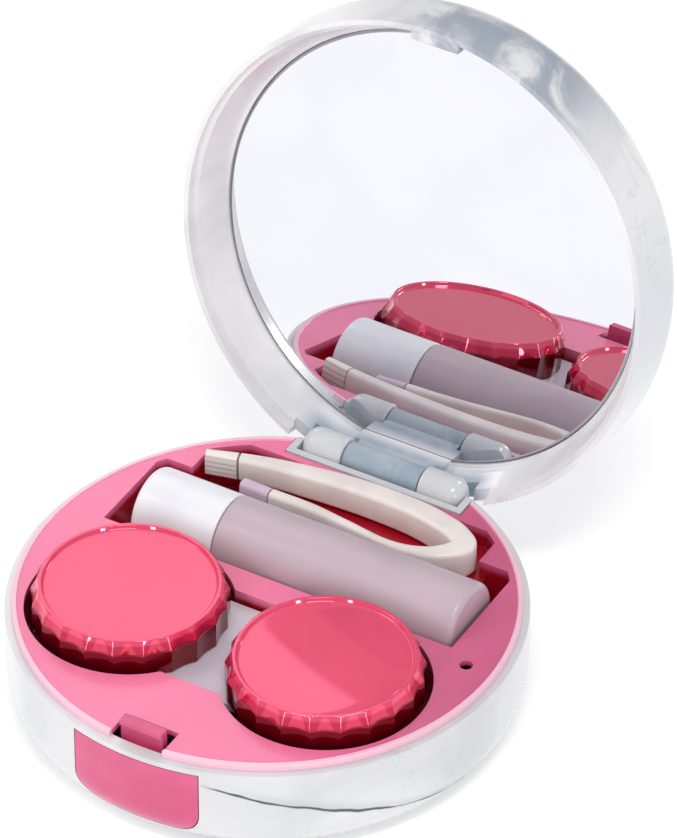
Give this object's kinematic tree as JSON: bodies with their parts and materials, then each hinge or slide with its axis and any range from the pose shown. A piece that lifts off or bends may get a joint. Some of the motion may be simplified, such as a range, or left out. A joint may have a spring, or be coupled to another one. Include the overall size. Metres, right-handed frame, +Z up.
{
  "type": "contact lens travel case",
  "caption": "Round hinged compact with a lid mirror and a moulded tray holding a screw-cap twin lens case, a solution bottle and lens tweezers.",
  "frame": {"origin": "centre of the base's flat underside", "axes": "+Z up out of the tray, +Y from the latch to the hinge, +X to the right seen from the latch"},
  "size_m": [0.07, 0.0918, 0.0809],
  "materials": {
    "marbled_shell": "glossy, soft grey marbling",
    "pink_tray": "glossy moulded pink",
    "pink_button": "satin moulded pink",
    "steel": "bright drawn wire",
    "mirror_glass": "silvered glass",
    "adhesive_foam": "thin white foam",
    "white_case": "glossy white",
    "pink_cap": "glossy, deep and slightly see-through pink",
    "seal_rubber": "soft white",
    "frosted_bottle": "frosted, slightly see-through",
    "clear_plug": "natural",
    "white_cap": "satin white",
    "cream_tweezers": "milky",
    "soft_tip": "soft lilac"
  },
  "bodies": {
    "case_base": {"base_shell": "marbled_shell", "tray": "pink_tray", "hinge_pin": "steel", "latch_spring": "steel"},
    "lid": {"lid_shell": "marbled_shell", "mirror": "mirror_glass", "mirror_adhesive": "adhesive_foam"},
    "latch": {"latch_button": "pink_button"},
    "lens_case": {"lens_case_body": "white_case"},
    "left_seal": {"cap_seal_left": "seal_rubber"},
    "left_cap": {"lens_cap_left": "pink_cap"},
    "right_seal": {"cap_seal_right": "seal_rubber"},
    "right_cap": {"lens_cap_right": "pink_cap"},
    "bottle": {"bottle_body": "frosted_bottle", "bottle_dropper_plug": "clear_plug"},
    "bottle_liner": {"bottle_cap_liner": "seal_rubber"},
    "bottle_cap": {"bottle_cap": "white_cap"},
    "tweezers": {"tweezers_arm_back": "cream_tweezers", "tweezers_tip_back": "soft_tip"},
    "tweezers_front": {"tweezers_arm_front": "cream_tweezers", "tweezers_tip_front": "soft_tip"}
  },
  "joints": [
    {"name": "lid_hinge", "type": "hinge", "parent": "case_base", "child": "lid", "pos_m": [0, 0.0317, 0.0154], "axis": [-1, 0, 0], "range_deg": [-101, 0]},
    {"name": "latch_press", "type": "slide", "parent": "case_base", "child": "latch", "axis": [0, 1, 0], "range_m": [0, 0.0012], "stiffness_N_per_m": 400, "springref_m": -0.0008, "deforming": ["latch_spring"]},
    {"name": "lens_case_lift", "type": "slide", "parent": "case_base", "child": "lens_case", "axis": [0, 0, 1], "range_m": [0, 0.02]},
    {"name": "left_cap_rise", "type": "slide", "parent": "lens_case", "child": "left_seal", "axis": [0, 0, 1], "range_m": [0, 0.003]},
    {"name": "left_cap_turn", "type": "hinge", "parent": "left_seal", "child": "left_cap", "pos_m": [-0.015, -0.0104, 0.018], "axis": [0, 0, 1], "range_deg": [0, 360]},
    {"name": "right_cap_rise", "type": "slide", "parent": "lens_case", "child": "right_seal", "axis": [0, 0, 1], "range_m": [0, 0.003]},
    {"name": "right_cap_turn", "type": "hinge", "parent": "right_seal", "child": "right_cap", "pos_m": [0.015, -0.0104, 0.018], "axis": [0, 0, 1], "range_deg": [0, 360]},
    {"name": "bottle_lift", "type": "slide", "parent": "case_base", "child": "bottle", "axis": [0, 0, 1], "range_m": [0, 0.02]},
    {"name": "bottle_cap_travel", "type": "slide", "parent": "bottle", "child": "bottle_liner", "axis": [-1, 0, 0], "range_m": [0, 0.003]},
    {"name": "bottle_cap_turn", "type": "hinge", "parent": "bottle_liner", "child": "bottle_cap", "pos_m": [-0.018, 0.0099, 0.0146], "axis": [-1, 0, 0], "range_deg": [0, 540]},
    {"name": "tweezers_lift", "type": "slide", "parent": "case_base", "child": "tweezers", "axis": [0, 0, 1], "range_m": [0, 0.02]},
    {"name": "tweezers_squeeze", "type": "hinge", "parent": "tweezers", "child": "tweezers_front", "pos_m": [0.018, 0.021, 0.0153], "axis": [0, 0, -1], "range_deg": [0, 2.5], "stiffness_Nm_per_rad": 0.05}
  ],
  "couplings": [
    {"joint": "left_cap_rise", "follows": "left_cap_turn", "m_per_rad": 0.00047746},
    {"joint": "right_cap_rise", "follows": "right_cap_turn", "m_per_rad": 0.00047746},
    {"joint": "bottle_cap_travel", "follows": "bottle_cap_turn", "m_per_rad": 0.00031831}
  ]
}
